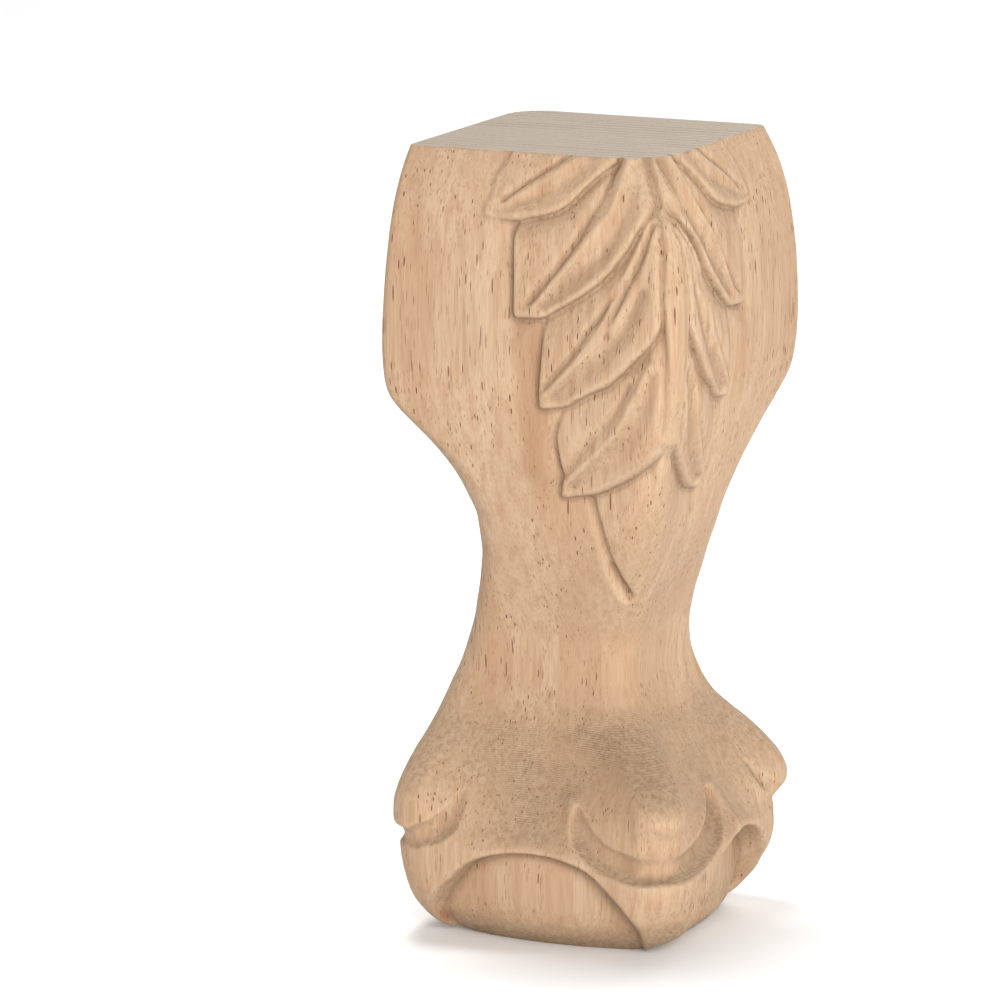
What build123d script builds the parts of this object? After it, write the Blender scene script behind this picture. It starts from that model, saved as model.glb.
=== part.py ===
from build123d import *
import math
import os

# Carved furniture leg: one block of wood, standing on its foot.
# +Z is up, the four flat flanks face +X, -X, +Y and -Y, and the carved leaf
# wraps the corner between the -Y and the +X flank (the "front" corner).
# The shape is nearly its own mirror image across the diagonal plane x = -y: only
# the recess in the foot on the +X side and one gouge on the shin differ.
# All lengths in millimetres.

# ---------------------------------------------------------------- dimensions
height = 150.0            # overall height
width = 60.0              # overall width and depth
half = width / 2

# Height stations of the leg:
#   z, reach of the front flanks at the corners, at mid flank,
#      reach of the back flanks at the corners, at mid flank,
#      corner radius front, side, back
stations = [
    (0.0,   21.2, 21.2, 21.2, 21.2, 9.4, 9.4, 9.4),      # sole
    (1.2,   23.3, 23.3, 23.3, 23.3, 10.0, 10.0, 10.0),
    (2.6,   25.3, 25.3, 25.3, 25.3, 10.6, 10.6, 10.6),
    (5.0,   27.2, 27.2, 27.2, 27.2, 11.0, 11.0, 11.0),   # claws
    (8.0,   28.5, 28.5, 28.5, 28.5, 10.6, 10.6, 10.6),
    (11.0,  29.0, 29.0, 29.0, 29.0, 9.8, 9.8, 9.8),
    (15.0,  29.4, 29.4, 29.4, 29.4, 9.0, 9.0, 9.0),
    (18.0,  29.5, 29.4, 29.5, 29.4, 8.5, 8.5, 8.5),
    (20.5,  29.7, 28.3, 29.7, 28.7, 7.6, 7.6, 7.6),
    (23.0,  29.9, 26.4, 29.9, 28.0, 6.8, 6.8, 6.8),      # toe knuckles
    (26.0,  29.8, 24.2, 29.7, 27.3, 6.4, 6.4, 6.4),
    (29.0,  28.7, 22.0, 29.2, 26.7, 6.2, 6.2, 6.2),
    (32.0,  26.3, 19.9, 28.7, 26.2, 6.2, 6.2, 6.4),
    (35.0,  22.9, 18.0, 28.2, 25.8, 6.2, 6.2, 6.6),
    (38.0,  18.8, 16.4, 27.6, 25.4, 6.2, 6.2, 6.8),
    (41.0,  15.5, 14.8, 26.9, 24.9, 6.2, 6.2, 7.0),
    (45.0,  13.4, 13.4, 25.7, 24.2, 6.3, 6.3, 7.0),
    (50.0,  12.4, 12.5, 23.8, 23.0, 6.6, 6.6, 7.0),      # ankle
    (56.0,  13.1, 13.1, 21.6, 21.3, 7.0, 7.0, 7.0),
    (62.0,  15.0, 15.0, 19.5, 19.4, 7.0, 7.0, 7.0),
    (68.0,  17.5, 17.5, 17.6, 17.6, 7.0, 7.0, 7.0),
    (74.0,  19.9, 19.9, 16.2, 16.2, 7.0, 7.0, 7.0),
    (80.0,  22.0, 22.0, 16.1, 16.1, 6.8, 7.0, 7.0),
    (85.0,  23.6, 23.6, 17.3, 17.3, 6.4, 6.6, 7.0),
    (89.0,  24.8, 24.8, 18.8, 18.8, 6.0, 6.0, 7.0),
    (93.0,  26.0, 26.0, 21.1, 21.1, 5.6, 5.2, 7.0),
    (96.0,  26.8, 26.8, 23.4, 23.4, 5.3, 4.5, 7.0),
    (99.0,  27.6, 27.6, 26.1, 26.1, 5.0, 3.8, 7.0),
    (101.5, 28.2, 28.2, 28.2, 28.2, 5.0, 3.2, 7.0),      # lower edge of the block
    (104.0, 28.8, 28.8, 29.5, 29.5, 5.0, 2.7, 7.0),
    (107.0, 29.3, 29.3, 29.95, 29.95, 5.0, 2.4, 7.0),
    (111.0, 29.75, 29.75, 30.0, 30.0, 5.0, 2.2, 7.0),
    (117.0, 30.0, 30.0, 29.8, 29.8, 5.0, 2.0, 7.0),      # fullest part of the knee
    (124.0, 29.9, 29.9, 29.4, 29.4, 5.0, 2.0, 7.0),
    (132.0, 29.2, 29.2, 28.9, 28.9, 5.2, 2.0, 7.0),
    (138.0, 28.3, 28.3, 28.4, 28.4, 5.8, 2.0, 7.0),
    (143.0, 27.0, 27.0, 27.8, 27.8, 6.8, 2.0, 7.0),
    (147.0, 25.4, 25.4, 27.2, 27.2, 8.0, 2.0, 7.0),
    (150.0, 24.0, 24.0, 26.5, 26.5, 9.0, 2.0, 7.0),      # top face
]

# The leg is formed in storeys: lower end, upper end, steps between sections
storeys = [
    (0.0, 18.0, 6),       # claws and ball
    (18.0, 42.0, 8),      # knuckles and instep
    (42.0, 78.0, 8),      # ankle and shin
    (78.0, 111.0, 11),    # calf and lower edge of the block
    (111.0, 150.0, 7),    # block
]

# Foot: arched recess on every side, with the held ball showing inside it
arch_outline = [          # half of the arch: distance from mid flank, height
    (24.6, -6.0), (24.3, 0.0), (23.7, 3.0), (22.6, 5.6), (20.5, 8.4),
    (16.8, 12.4), (12.1, 16.4), (6.0, 18.5), (0.0, 19.1),
]
side_outline = [          # the whole arch on the +X side: distance along y, height
    (-24.6, -6.0), (-24.0, 0.0), (-20.6, 2.0), (-16.4, 4.8), (-13.2, 8.0), (-10.8, 11.2), (-8.0, 14.4), (-3.6, 16.9),
    (1.6, 18.5), (7.0, 19.1), (12.0, 17.9), (15.8, 15.2), (18.6, 11.8), (20.8, 8.4), (22.6, 5.6), (23.7, 3.0),
    (24.3, 0.0), (24.6, -6.0),
]
ball_profile = [          # reach of the ball at mid flank, height
    (16.0, -4.0), (20.6, 0.0), (24.2, 3.0), (25.8, 6.0), (26.4, 9.0),
    (26.5, 13.0), (26.0, 17.0), (24.6, 21.5),
]
ball_corner = 0.86        # reach of the ball at its corners, as a share of mid flank
arch_reach = 29.0         # distance from the axis at which the arch has that outline
arch_flare = 0.5          # how much the recess narrows towards the ball
nail_groove_radius = 1.7  # groove between a toe and its nail fold
nail_groove_lift = 0.5    # height of the groove's centre line above the wood

# Leaf on the front corner
ground_depth = 1.3        # wood sunk beside the outer edge of a lobe
edge_depth = 1.1          # undercut line below each lobe
scoop_depth = 0.6         # hollows and veins inside the lobes
overcut = 0.6             # how far a carving cut reaches out of the wood


# ------------------------------------------------------- helpers on the form
corner_pull = 0.5523      # control point distance that makes a round corner
flank_pull = 0.75 * corner_pull


def slopes(column):
    """Slopes of a curve through one station column that never overshoots."""
    zs = [row[0] for row in stations]
    ws = [row[column] for row in stations]
    steps = [(w1 - w0) / (z1 - z0) for z0, z1, w0, w1 in zip(zs, zs[1:], ws, ws[1:])]
    inner = []
    for i in range(1, len(zs) - 1):
        if steps[i - 1] * steps[i] <= 0:
            inner.append(0.0)
        else:
            h0, h1 = zs[i] - zs[i - 1], zs[i + 1] - zs[i]
            k0, k1 = 2 * h1 + h0, h1 + 2 * h0
            inner.append((k0 + k1) / (k0 / steps[i - 1] + k1 / steps[i]))
    return [steps[0]] + inner + [steps[-1]]


station_slopes = [slopes(column) for column in range(1, 8)]


def station(z):
    """Station values at any height, smoothly between the listed ones."""
    z = min(max(z, 0.0), height)
    i = max(k for k in range(len(stations) - 1) if stations[k][0] <= z)
    lower, upper = stations[i], stations[i + 1]
    h = upper[0] - lower[0]
    t = (z - lower[0]) / h
    values = []
    for column in range(1, 8):
        m = station_slopes[column - 1]
        values.append(
            (1 + 2 * t) * (1 - t) ** 2 * lower[column]
            + t * (1 - t) ** 2 * h * m[i]
            + t * t * (3 - 2 * t) * upper[column]
            - t * t * (1 - t) * h * m[i + 1]
        )
    return values


def flank(x, left, right, corner, middle, r_left, r_right):
    """Reach of one flank at position x: straight or hollow between round corners."""
    if x > right:
        return corner - r_right + math.sqrt(max(r_right**2 - (x - right) ** 2, 0.0))
    if x < left:
        return corner - r_left + math.sqrt(max(r_left**2 - (left - x) ** 2, 0.0))
    xs = [left, left + flank_pull * r_left, (left + right) / 2, right - flank_pull * r_right, right]
    t0, t1 = 0.0, 1.0
    for _ in range(40):
        t = (t0 + t1) / 2
        u = 1 - t
        here = u**4 * xs[0] + 4 * u**3 * t * xs[1] + 6 * u * u * t * t * xs[2] + 4 * u * t**3 * xs[3] + t**4 * xs[4]
        if here < x:
            t0 = t
        else:
            t1 = t
    return corner + 16 * (t * (1 - t)) ** 2 * (middle - corner)


def front_reach(x, z):
    """Distance of the -Y flank from the axis at position x."""
    wf, cf, wb, cb, rf, rs, rb = station(z)
    return flank(x, -wb + rs, wf - rf, wf, cf, rs, rf)


def back_reach(x, z):
    """Distance of the +Y flank from the axis at position x."""
    wf, cf, wb, cb, rf, rs, rb = station(z)
    return flank(x, -wb + rb, wf - rs, wb, cb, rb, rs)


def mirrored(points):
    """The same points across the diagonal plane x = -y."""
    return [(-y, -x, z) for x, y, z in points]


def front_line(trace):
    """Points (x, z, lift) drawn on the -Y flank, lifted off the wood."""
    return [(x, -(front_reach(x, z) + lift), z) for x, z, lift in trace]


def stroke_sections(stroke, depth, wall):
    """Cross-sections of one carved stroke: the plane and three corners of each.

    With a wall the cut drops straight down on its upper side and runs out
    on the lower side; without one both sides slope.
    """
    sections = []
    for i, (x, z, w) in enumerate(stroke):
        x0, z0, _ = stroke[max(i - 1, 0)]
        x1, z1, _ = stroke[min(i + 1, len(stroke) - 1)]
        run = math.hypot(x1 - x0, z1 - z0)
        tx, tz = (x1 - x0) / run, (z1 - z0) / run
        w = max(w, 0.3)
        d = depth * min(1.0, w / 1.2)
        out = w * (1 + overcut / d)
        if wall:
            corners = [(0, -d), (0, overcut), (-out, overcut)]
        else:
            corners = [(0, -d), (out / 2, overcut), (-out / 2, overcut)]
        across = (-tz, 0, tx)
        y = -front_reach(x, z)
        points = [(x + n * across[0], y - h, z + n * across[2]) for n, h in corners]
        sections.append(points)
    return sections


def back_line(trace):
    """Points (x, z, lift) drawn on the +Y flank, lifted off the wood."""
    return [(x, back_reach(x, z) + lift, z) for x, z, lift in trace]


# ------------------------------------------------------------------- drawing
# Leaf on the -Y flank; the same lines are mirrored onto the +X flank.
# Each stroke is a list of (x, z, width) and ends in a point.
edge_strokes = [
    # lower edges of the four lobes, from the tip to the middle of the leaf
    [(-11.6, 138.9, 0), (-3.8, 137.2, 1.3), (0.5, 137.8, 1.5), (5.0, 139.1, 1.4), (9.9, 143.3, 1.0), (14.2, 147.6, 0)],
    [(-4.8, 120.9, 0), (0.4, 119.8, 1.3), (3.2, 119.9, 1.6), (6.7, 121.7, 1.7), (11.6, 124.6, 1.6), (19.0, 132.2, 1.2), (22.8, 139.6, 0)],
    [(0.2, 103.9, 0), (4.7, 102.8, 1.4), (7.7, 103.5, 1.7), (12.0, 106.0, 1.7), (16.7, 108.4, 1.5), (21.0, 112.4, 1.0), (24.0, 116.2, 0)],
    [(2.4, 86.8, 0), (7.6, 85.8, 1.4), (11.4, 86.5, 1.8), (15.0, 88.0, 1.8), (19.2, 90.4, 1.5), (22.8, 93.5, 1.0), (25.6, 96.8, 0)],
    # gouge running down the shin from under the last lobe, on the -Y flank only
    [(9.6, 84.2, 0), (10.6, 81.0, 0.9), (11.8, 76.0, 1.3), (13.2, 70.5, 1.7), (14.5, 66.6, 1.6), (15.0, 64.6, 0)],
]
scoop_strokes = [
    # broad hollow above the lower rim of each lobe
    [(-6.4, 139.8, 0), (0.2, 141.6, 2.4), (5.2, 144.0, 2.8), (9.2, 147.4, 2.2), (11.6, 150.6, 0)],
    [(1.6, 122.6, 0), (11.0, 129.6, 3.0), (15.6, 134.4, 3.6), (18.2, 139.6, 3.4), (19.6, 145.6, 2.6), (20.0, 151.0, 0)],
    [(4.4, 105.6, 0), (10.6, 110.2, 2.6), (16.2, 115.0, 3.0), (20.4, 120.6, 2.6), (23.2, 128.6, 0)],
    [(6.6, 89.2, 0), (12.6, 93.6, 2.3), (18.4, 99.0, 2.8), (22.0, 106.0, 2.2), (24.0, 112.6, 0)],
    # veins
    [(-6.6, 142.6, 0), (-1.6, 145.8, 0.9), (3.8, 150.6, 0)],
    [(1.2, 126.4, 0), (7.4, 134.0, 1.2), (12.0, 142.2, 1.2), (14.2, 150.8, 0)],
    [(3.6, 110.4, 0), (9.0, 116.0, 1.1), (14.2, 122.4, 1.2), (18.6, 130.0, 1.0), (21.2, 135.8, 0)],
    [(6.0, 93.4, 0), (11.2, 99.0, 1.0), (16.2, 105.2, 1.1), (20.4, 112.4, 0)],
    # side of the midrib
    [(25.4, 137.4, 0), (26.2, 131.0, 0.8), (26.6, 122.0, 1.0), (26.6, 112.0, 1.0), (26.0, 104.0, 0.8), (24.9, 98.8, 0)],
    # pointed hollow at the top beside the midrib
    [(24.4, 139.6, 0), (23.6, 143.4, 1.8), (22.8, 147.4, 2.6), (22.0, 151.0, 0)],
]

# Sunk ground beside the outer edge of each lobe: (x of the wall, z, depth, width)
grounds = [
    [(-9.6, 138.2, 0.7, 3.0), (-8.4, 142.5, 0.7, 3.0), (-7.6, 146.0, 0.5, 2.5), (-5.6, 150.5, 0.3, 2.0)],
    [(-2.6, 117.0, 0.15, 2.0), (-2.7, 121.0, 0.7, 3.0), (-3.0, 129.0, 1.0, 3.5), (-3.2, 136.2, ground_depth, 6.0)],
    [(2.0, 101.0, 0.3, 3.0), (2.2, 106.0, 0.9, 4.5), (2.6, 113.0, 1.1, 5.0), (3.0, 118.7, ground_depth, 5.5)],
    [(4.2, 84.5, 0.15, 2.0), (4.9, 90.0, 0.8, 2.6), (4.6, 97.0, 1.0, 3.0), (5.4, 101.7, ground_depth, 4.0)],
]

# Groove round each toe, from one side valley over the corner to the other
front_arm = [(8.5, 27.2), (11.0, 23.4), (15.5, 20.6), (21.0, 19.4)]
side_arm = [(-11.5, 28.8), (-13.6, 24.4), (-17.2, 21.0), (-21.8, 19.5)]
back_arm = [(11.0, 27.2), (13.2, 23.6), (17.0, 20.8), (21.8, 19.5)]
corner_z = 19.2


def toe_corner(x_sign, y_sign):
    """Point on the rounded corner of a toe, lifted along the diagonal."""
    wf, cf, wb, cb, rf, rs, rb = station(corner_z)
    reach = wf - rf + (rf + nail_groove_lift) / math.sqrt(2)
    return (x_sign * reach, y_sign * reach, corner_z)


lift = nail_groove_lift
arm_f = front_line([(x, z, lift) for x, z in front_arm])
arm_l = front_line([(x, z, lift) for x, z in side_arm])
arm_r = back_line([(x, z, lift) for x, z in back_arm])
arm_b = back_line([(-x, z, lift) for x, z in back_arm])
toe_lines = [
    arm_f + [toe_corner(1, -1)] + mirrored(arm_f)[::-1],
    arm_l + [toe_corner(-1, -1)] + mirrored(arm_r)[::-1],
    mirrored(arm_l) + [toe_corner(1, 1)] + arm_r[::-1],
    arm_b + [toe_corner(-1, 1)] + mirrored(arm_b)[::-1],
]

def draw_section(z):
    """Outline of the leg at height z."""
    wf, cf, wb, cb, rf, rs, rb = station(z)
    a, b = -wb + rs, wf - rf          # ends of the front flanks
    c, d = wf - rs, -wb + rb          # ends of the back flanks
    m, n = (a + b) / 2, (c + d) / 2   # middles of the flanks
    df, db = (cf - wf) * 8 / 3, (cb - wb) * 8 / 3
    k, g = corner_pull, flank_pull
    Bezier((a, -wf), (a + g * rs, -wf), (m, -wf - df), (b - g * rf, -wf), (b, -wf))
    Bezier((b, -wf), (b + k * rf, -wf), (wf, -b - k * rf), (wf, -b))
    Bezier((wf, -b), (wf, -b + g * rf), (wf + df, -m), (wf, -a - g * rs), (wf, -a))
    Bezier((wf, -a), (wf, -a + k * rs), (c + k * rs, wb), (c, wb))
    Bezier((c, wb), (c - g * rs, wb), (n, wb + db), (d + g * rb, wb), (d, wb))
    Bezier((d, wb), (d - k * rb, wb), (-wb, -d + k * rb), (-wb, -d))
    Bezier((-wb, -d), (-wb, -d - g * rb), (-wb - db, -n), (-wb, -c + g * rs), (-wb, -c))
    Bezier((-wb, -c), (-wb, -c - k * rs), (a - k * rs, -wf), (a, -wf))


def heights(bottom, top, steps):
    """Evenly spaced section heights of one storey."""
    return [bottom + (top - bottom) * i / steps for i in range(steps + 1)]



# --------------------------------------------------------------- the held ball
with BuildPart() as ball:
    for reach, z in ball_profile:
        c = reach * ball_corner
        with BuildSketch(Plane.XY.offset(z)):
            with BuildLine():
                ThreePointArc((-c, -c), (0, -reach), (c, -c))
                ThreePointArc((c, -c), (reach, 0), (c, c))
                ThreePointArc((c, c), (0, reach), (-c, c))
                ThreePointArc((-c, c), (-reach, 0), (-c, -c))
            make_face()
    loft(clean=False)

# ------------------------------------------- one arched recess, ball left standing
with BuildPart() as arch:
    for reach in (14.0, 40.0):
        spread = 1 + (reach - arch_reach) * arch_flare / arch_outline[3][0]
        sides = [(x * spread, z) for x, z in arch_outline]
        with BuildSketch(Plane.XZ.offset(reach)):
            with BuildLine():
                Spline(sides + [(-x, z) for x, z in sides[-2::-1]])
                Line((-sides[0][0], sides[0][1]), sides[0])
            make_face()
    loft(ruled=True, clean=False)
    add(ball.part, mode=Mode.SUBTRACT)

# ------------------------------------- recess on the +X side, narrower at the front
with BuildPart() as side_arch:
    for reach in (14.0, 40.0):
        spread = 1 + (reach - arch_reach) * arch_flare / arch_outline[3][0]
        sides = [(y * spread, z) for y, z in side_outline]
        with BuildSketch(Plane.YZ.offset(reach)):
            with BuildLine():
                Spline(sides)
                Line(sides[-1], sides[0])
            make_face()
    loft(ruled=True, clean=False)
    add(ball.part, mode=Mode.SUBTRACT)

# -------------------------------------------------------------------- the leg
with BuildPart() as leg:
    # body of the leg: rounded four-sided sections stacked up the height
    for storey in storeys:
        for z in heights(*storey):
            with BuildSketch(Plane.XY.offset(z)):
                with BuildLine():
                    draw_section(z)
                make_face()
        loft(clean=False)

    # groove round each toe
    for line in toe_lines:
        with BuildLine() as run:
            Spline(line)
        with BuildSketch(Plane(run.line @ 0, z_dir=run.line % 0)):
            Circle(nail_groove_radius)
        sweep(path=run.line, mode=Mode.SUBTRACT, clean=False)

    # arched recess on each of the four sides of the foot
    with Locations(*[Location((0, 0, 0), (0, 0, turn)) for turn in (0, 180, 270)]):
        add(arch.part, mode=Mode.SUBTRACT, clean=False)
    add(side_arch.part, mode=Mode.SUBTRACT, clean=False)

    # sunk ground beside the lobes, on both front flanks
    for ground in grounds:
        for flip in (False, True):
            for x, z, depth, breadth in ground:
                reach = front_reach(x, z)
                slope = breadth / depth
                corners = [
                    (x, -(reach - depth)),
                    (x, -(reach + 0.6)),
                    (x - breadth - 0.6 * slope, -(reach + 0.6)),
                ]
                if flip:
                    corners = [(-py, -px) for px, py in corners]
                with BuildSketch(Plane.XY.offset(z)):
                    with BuildLine():
                        Polyline(corners, close=True)
                    make_face()
            loft(mode=Mode.SUBTRACT, clean=False)

    # strokes of the leaf, on both front flanks
    for strokes, depth, wall in ((edge_strokes, edge_depth, True), (scoop_strokes, scoop_depth, False)):
        for stroke in strokes:
            sections = stroke_sections(stroke, depth, wall)
            both = [sections, [mirrored(points) for points in sections]]
            for cut in both[:1] if stroke is edge_strokes[-1] else both:
                for points in cut:
                    tip, one, other = [Vector(*point) for point in points]
                    across = (one - other).normalized()
                    frame = Plane(origin=tip, x_dir=across, z_dir=across.cross(tip - one))
                    with BuildSketch(frame):
                        with BuildLine():
                            Polyline([frame.to_local_coords(q) for q in (tip, one, other)], close=True)
                        make_face()
                loft(ruled=True, mode=Mode.SUBTRACT, clean=False)

leg.part.label = "leg"

os.makedirs("parts", exist_ok=True)
export_step(leg.part, "parts/leg.step")

box = leg.part.bounding_box()
print("leg box", box.min, box.max, "volume", leg.part.volume, "solids", len(leg.part.solids()))
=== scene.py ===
import math

import bpy
import numpy as np
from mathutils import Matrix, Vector


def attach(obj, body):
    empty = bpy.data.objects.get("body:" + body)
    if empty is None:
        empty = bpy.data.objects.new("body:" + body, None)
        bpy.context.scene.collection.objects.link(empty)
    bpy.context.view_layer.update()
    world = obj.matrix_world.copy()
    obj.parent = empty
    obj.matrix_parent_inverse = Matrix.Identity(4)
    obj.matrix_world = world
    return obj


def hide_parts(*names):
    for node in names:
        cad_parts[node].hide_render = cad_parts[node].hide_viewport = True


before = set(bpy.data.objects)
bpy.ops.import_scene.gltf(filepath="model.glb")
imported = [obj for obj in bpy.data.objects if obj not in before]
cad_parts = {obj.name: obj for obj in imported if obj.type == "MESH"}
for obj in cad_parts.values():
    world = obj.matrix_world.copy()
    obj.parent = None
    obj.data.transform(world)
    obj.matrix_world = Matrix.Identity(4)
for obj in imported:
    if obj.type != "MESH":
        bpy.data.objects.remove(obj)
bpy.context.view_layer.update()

# Carved furniture leg. The form is worked out in millimetres as one distance
# field, turned into a mesh and written in metres. +Z is up, the leaf wraps the
# corner between the -Y and the +X flank, and x = -y is the mirror plane.

# ------------------------------------------------------------------ dimensions
HEIGHT = 150.0
HALF = 30.0
STEP = 0.36

STATIONS = np.array([
    # z, front reach at corner, mid; back reach at corner, mid; radius front, side, back
    (0.0,   21.2, 21.2, 21.2, 21.2, 9.4, 9.4, 9.4),
    (1.2,   23.3, 23.3, 23.3, 23.3, 10.0, 10.0, 10.0),
    (2.6,   25.3, 25.3, 25.3, 25.3, 10.6, 10.6, 10.6),
    (5.0,   27.2, 27.2, 27.2, 27.2, 11.0, 11.0, 11.0),
    (8.0,   28.5, 28.5, 28.5, 28.5, 10.6, 10.6, 10.6),
    (11.0,  29.0, 29.0, 29.0, 29.0, 9.8, 9.8, 9.8),
    (15.0,  29.4, 29.4, 29.4, 29.4, 9.0, 9.0, 9.0),
    (18.0,  29.5, 29.4, 29.5, 29.4, 8.5, 8.5, 8.5),
    (20.5,  29.7, 28.3, 29.7, 28.7, 7.6, 7.6, 7.6),
    (23.0,  29.9, 26.4, 29.9, 28.0, 6.8, 6.8, 6.8),
    (26.0,  29.8, 24.2, 29.7, 27.3, 6.4, 6.4, 6.4),
    (29.0,  28.7, 22.0, 29.2, 26.7, 6.2, 6.2, 6.2),
    (32.0,  26.3, 19.9, 28.7, 26.2, 6.2, 6.2, 6.4),
    (35.0,  22.9, 18.0, 28.2, 25.8, 6.2, 6.2, 6.6),
    (38.0,  18.8, 16.4, 27.6, 25.4, 6.2, 6.2, 6.8),
    (41.0,  15.5, 14.8, 26.9, 24.9, 6.2, 6.2, 7.0),
    (45.0,  13.4, 13.4, 25.7, 24.2, 6.3, 6.3, 7.0),
    (50.0,  12.4, 12.5, 23.8, 23.0, 6.6, 6.6, 7.0),
    (56.0,  13.1, 13.1, 21.6, 21.3, 7.0, 7.0, 7.0),
    (62.0,  15.0, 15.0, 19.5, 19.4, 7.0, 7.0, 7.0),
    (68.0,  17.5, 17.5, 17.6, 17.6, 7.0, 7.0, 7.0),
    (74.0,  19.9, 19.9, 16.2, 16.2, 7.0, 7.0, 7.0),
    (80.0,  22.0, 22.0, 16.1, 16.1, 6.8, 7.0, 7.0),
    (85.0,  23.6, 23.6, 17.3, 17.3, 6.4, 6.6, 7.0),
    (89.0,  24.8, 24.8, 18.8, 18.8, 6.0, 6.0, 7.0),
    (93.0,  26.0, 26.0, 21.1, 21.1, 5.6, 5.2, 7.0),
    (96.0,  26.8, 26.8, 23.4, 23.4, 5.3, 4.5, 7.0),
    (99.0,  27.6, 27.6, 26.1, 26.1, 5.0, 3.8, 7.0),
    (101.5, 28.2, 28.2, 28.2, 28.2, 5.0, 3.2, 7.0),
    (104.0, 28.8, 28.8, 29.5, 29.5, 5.0, 2.7, 7.0),
    (107.0, 29.3, 29.3, 29.95, 29.95, 5.0, 2.4, 7.0),
    (111.0, 29.75, 29.75, 30.0, 30.0, 5.0, 2.2, 7.0),
    (117.0, 30.0, 30.0, 29.8, 29.8, 5.0, 2.0, 7.0),
    (124.0, 29.9, 29.9, 29.4, 29.4, 5.0, 2.0, 7.0),
    (132.0, 29.2, 29.2, 28.9, 28.9, 5.2, 2.0, 7.0),
    (138.0, 28.3, 28.3, 28.4, 28.4, 5.8, 2.0, 7.0),
    (143.0, 27.0, 27.0, 27.8, 27.8, 6.8, 2.0, 7.0),
    (147.0, 25.4, 25.4, 27.2, 27.2, 8.0, 2.0, 7.0),
    (150.0, 24.0, 24.0, 26.5, 26.5, 9.0, 2.0, 7.0),
])

ARCH = [(24.6, -6.0), (24.3, 0.0), (23.7, 3.0), (22.6, 5.6), (20.5, 8.4),
        (16.8, 12.4), (12.1, 16.4), (6.0, 18.5), (0.0, 19.1)]
# the +X flank's recess is narrower towards the front claw: (y, z)
ARCH_SIDE = [(-24.6, -6.0), (-24.0, 0.0), (-20.6, 2.0), (-16.4, 4.8), (-13.2, 8.0), (-10.8, 11.2), (-8.0, 14.4), (-3.6, 16.9),
             (1.6, 18.5), (7.0, 19.1), (12.0, 17.9), (15.8, 15.2), (18.6, 11.8), (20.8, 8.4), (22.6, 5.6), (23.7, 3.0),
             (24.3, 0.0), (24.6, -6.0)]
ARCH_REACH, ARCH_FLARE = 29.0, 0.5
BALL = [(16.0, -4.0), (20.6, 0.0), (24.2, 3.0), (25.8, 6.0), (26.4, 9.0),
        (26.5, 13.0), (26.0, 17.0), (24.6, 21.5)]


# --------------------------------------------------------------------- curves
def smooth_through(xs, ys, x):
    """Values of a curve through the points that never overshoots them."""
    xs, ys, x = np.asarray(xs, float), np.asarray(ys, float), np.asarray(x, float)
    h, s = np.diff(xs), np.diff(ys) / np.diff(xs)
    m = np.zeros(len(xs))
    m[0], m[-1] = s[0], s[-1]
    for i in range(1, len(xs) - 1):
        if s[i - 1] * s[i] > 0:
            a, b = 2 * h[i] + h[i - 1], h[i] + 2 * h[i - 1]
            m[i] = (a + b) / (a / s[i - 1] + b / s[i])
    x = np.clip(x, xs[0], xs[-1])
    i = np.clip(np.searchsorted(xs, x, side="right") - 1, 0, len(xs) - 2)
    t = (x - xs[i]) / h[i]
    return ((1 + 2 * t) * (1 - t) ** 2 * ys[i] + t * (1 - t) ** 2 * h[i] * m[i]
            + t * t * (3 - 2 * t) * ys[i + 1] - t * t * (1 - t) * h[i] * m[i + 1])


def rounded(points, per=8):
    """A curve through the points (centripetal blend), as more points."""
    p = np.asarray(points, float)
    p = np.vstack([2 * p[0] - p[1], p, 2 * p[-1] - p[-2]])
    out = []
    for i in range(1, len(p) - 2):
        for t in np.arange(per) / per:
            a, b, c, d = p[i - 1], p[i], p[i + 1], p[i + 2]
            out.append(0.5 * (2 * b + (c - a) * t + (2 * a - 5 * b + 4 * c - d) * t * t
                              + (3 * b - a - 3 * c + d) * t ** 3))
    out.append(p[-2])
    return np.array(out)


def bezier(points, n=28):
    p = np.asarray(points, float)
    d = len(p) - 1
    t = np.arange(n)[:, None] / n
    return sum(math.comb(d, i) * t ** i * (1 - t) ** (d - i) * p[i] for i in range(d + 1))


def section(z):
    """Outline of the leg at height z."""
    wf, cf, wb, cb, rf, rs, rb = [float(smooth_through(STATIONS[:, 0], STATIONS[:, c], z)) for c in range(1, 8)]
    a, b, c, d = -wb + rs, wf - rf, wf - rs, -wb + rb
    m, n = (a + b) / 2, (c + d) / 2
    df, db = (cf - wf) * 8 / 3, (cb - wb) * 8 / 3
    k, g = 0.5523, 0.75 * 0.5523
    return np.vstack([
        bezier([(a, -wf), (a + g * rs, -wf), (m, -wf - df), (b - g * rf, -wf), (b, -wf)]),
        bezier([(b, -wf), (b + k * rf, -wf), (wf, -b - k * rf), (wf, -b)]),
        bezier([(wf, -b), (wf, -b + g * rf), (wf + df, -m), (wf, -a - g * rs), (wf, -a)]),
        bezier([(wf, -a), (wf, -a + k * rs), (c + k * rs, wb), (c, wb)]),
        bezier([(c, wb), (c - g * rs, wb), (n, wb + db), (d + g * rb, wb), (d, wb)]),
        bezier([(d, wb), (d - k * rb, wb), (-wb, -d + k * rb), (-wb, -d)]),
        bezier([(-wb, -d), (-wb, -d - g * rb), (-wb - db, -n), (-wb, -c + g * rs), (-wb, -c)]),
        bezier([(-wb, -c), (-wb, -c - k * rs), (a - k * rs, -wf), (a, -wf)]),
    ])


def reach_front(x, z):
    """Distance of the -Y flank from the axis at position x."""
    p = section(z)
    p = p[p[:, 1] < -5]
    o = np.argsort(p[:, 0])
    return float(np.interp(x, p[o, 0], -p[o, 1]))


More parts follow.
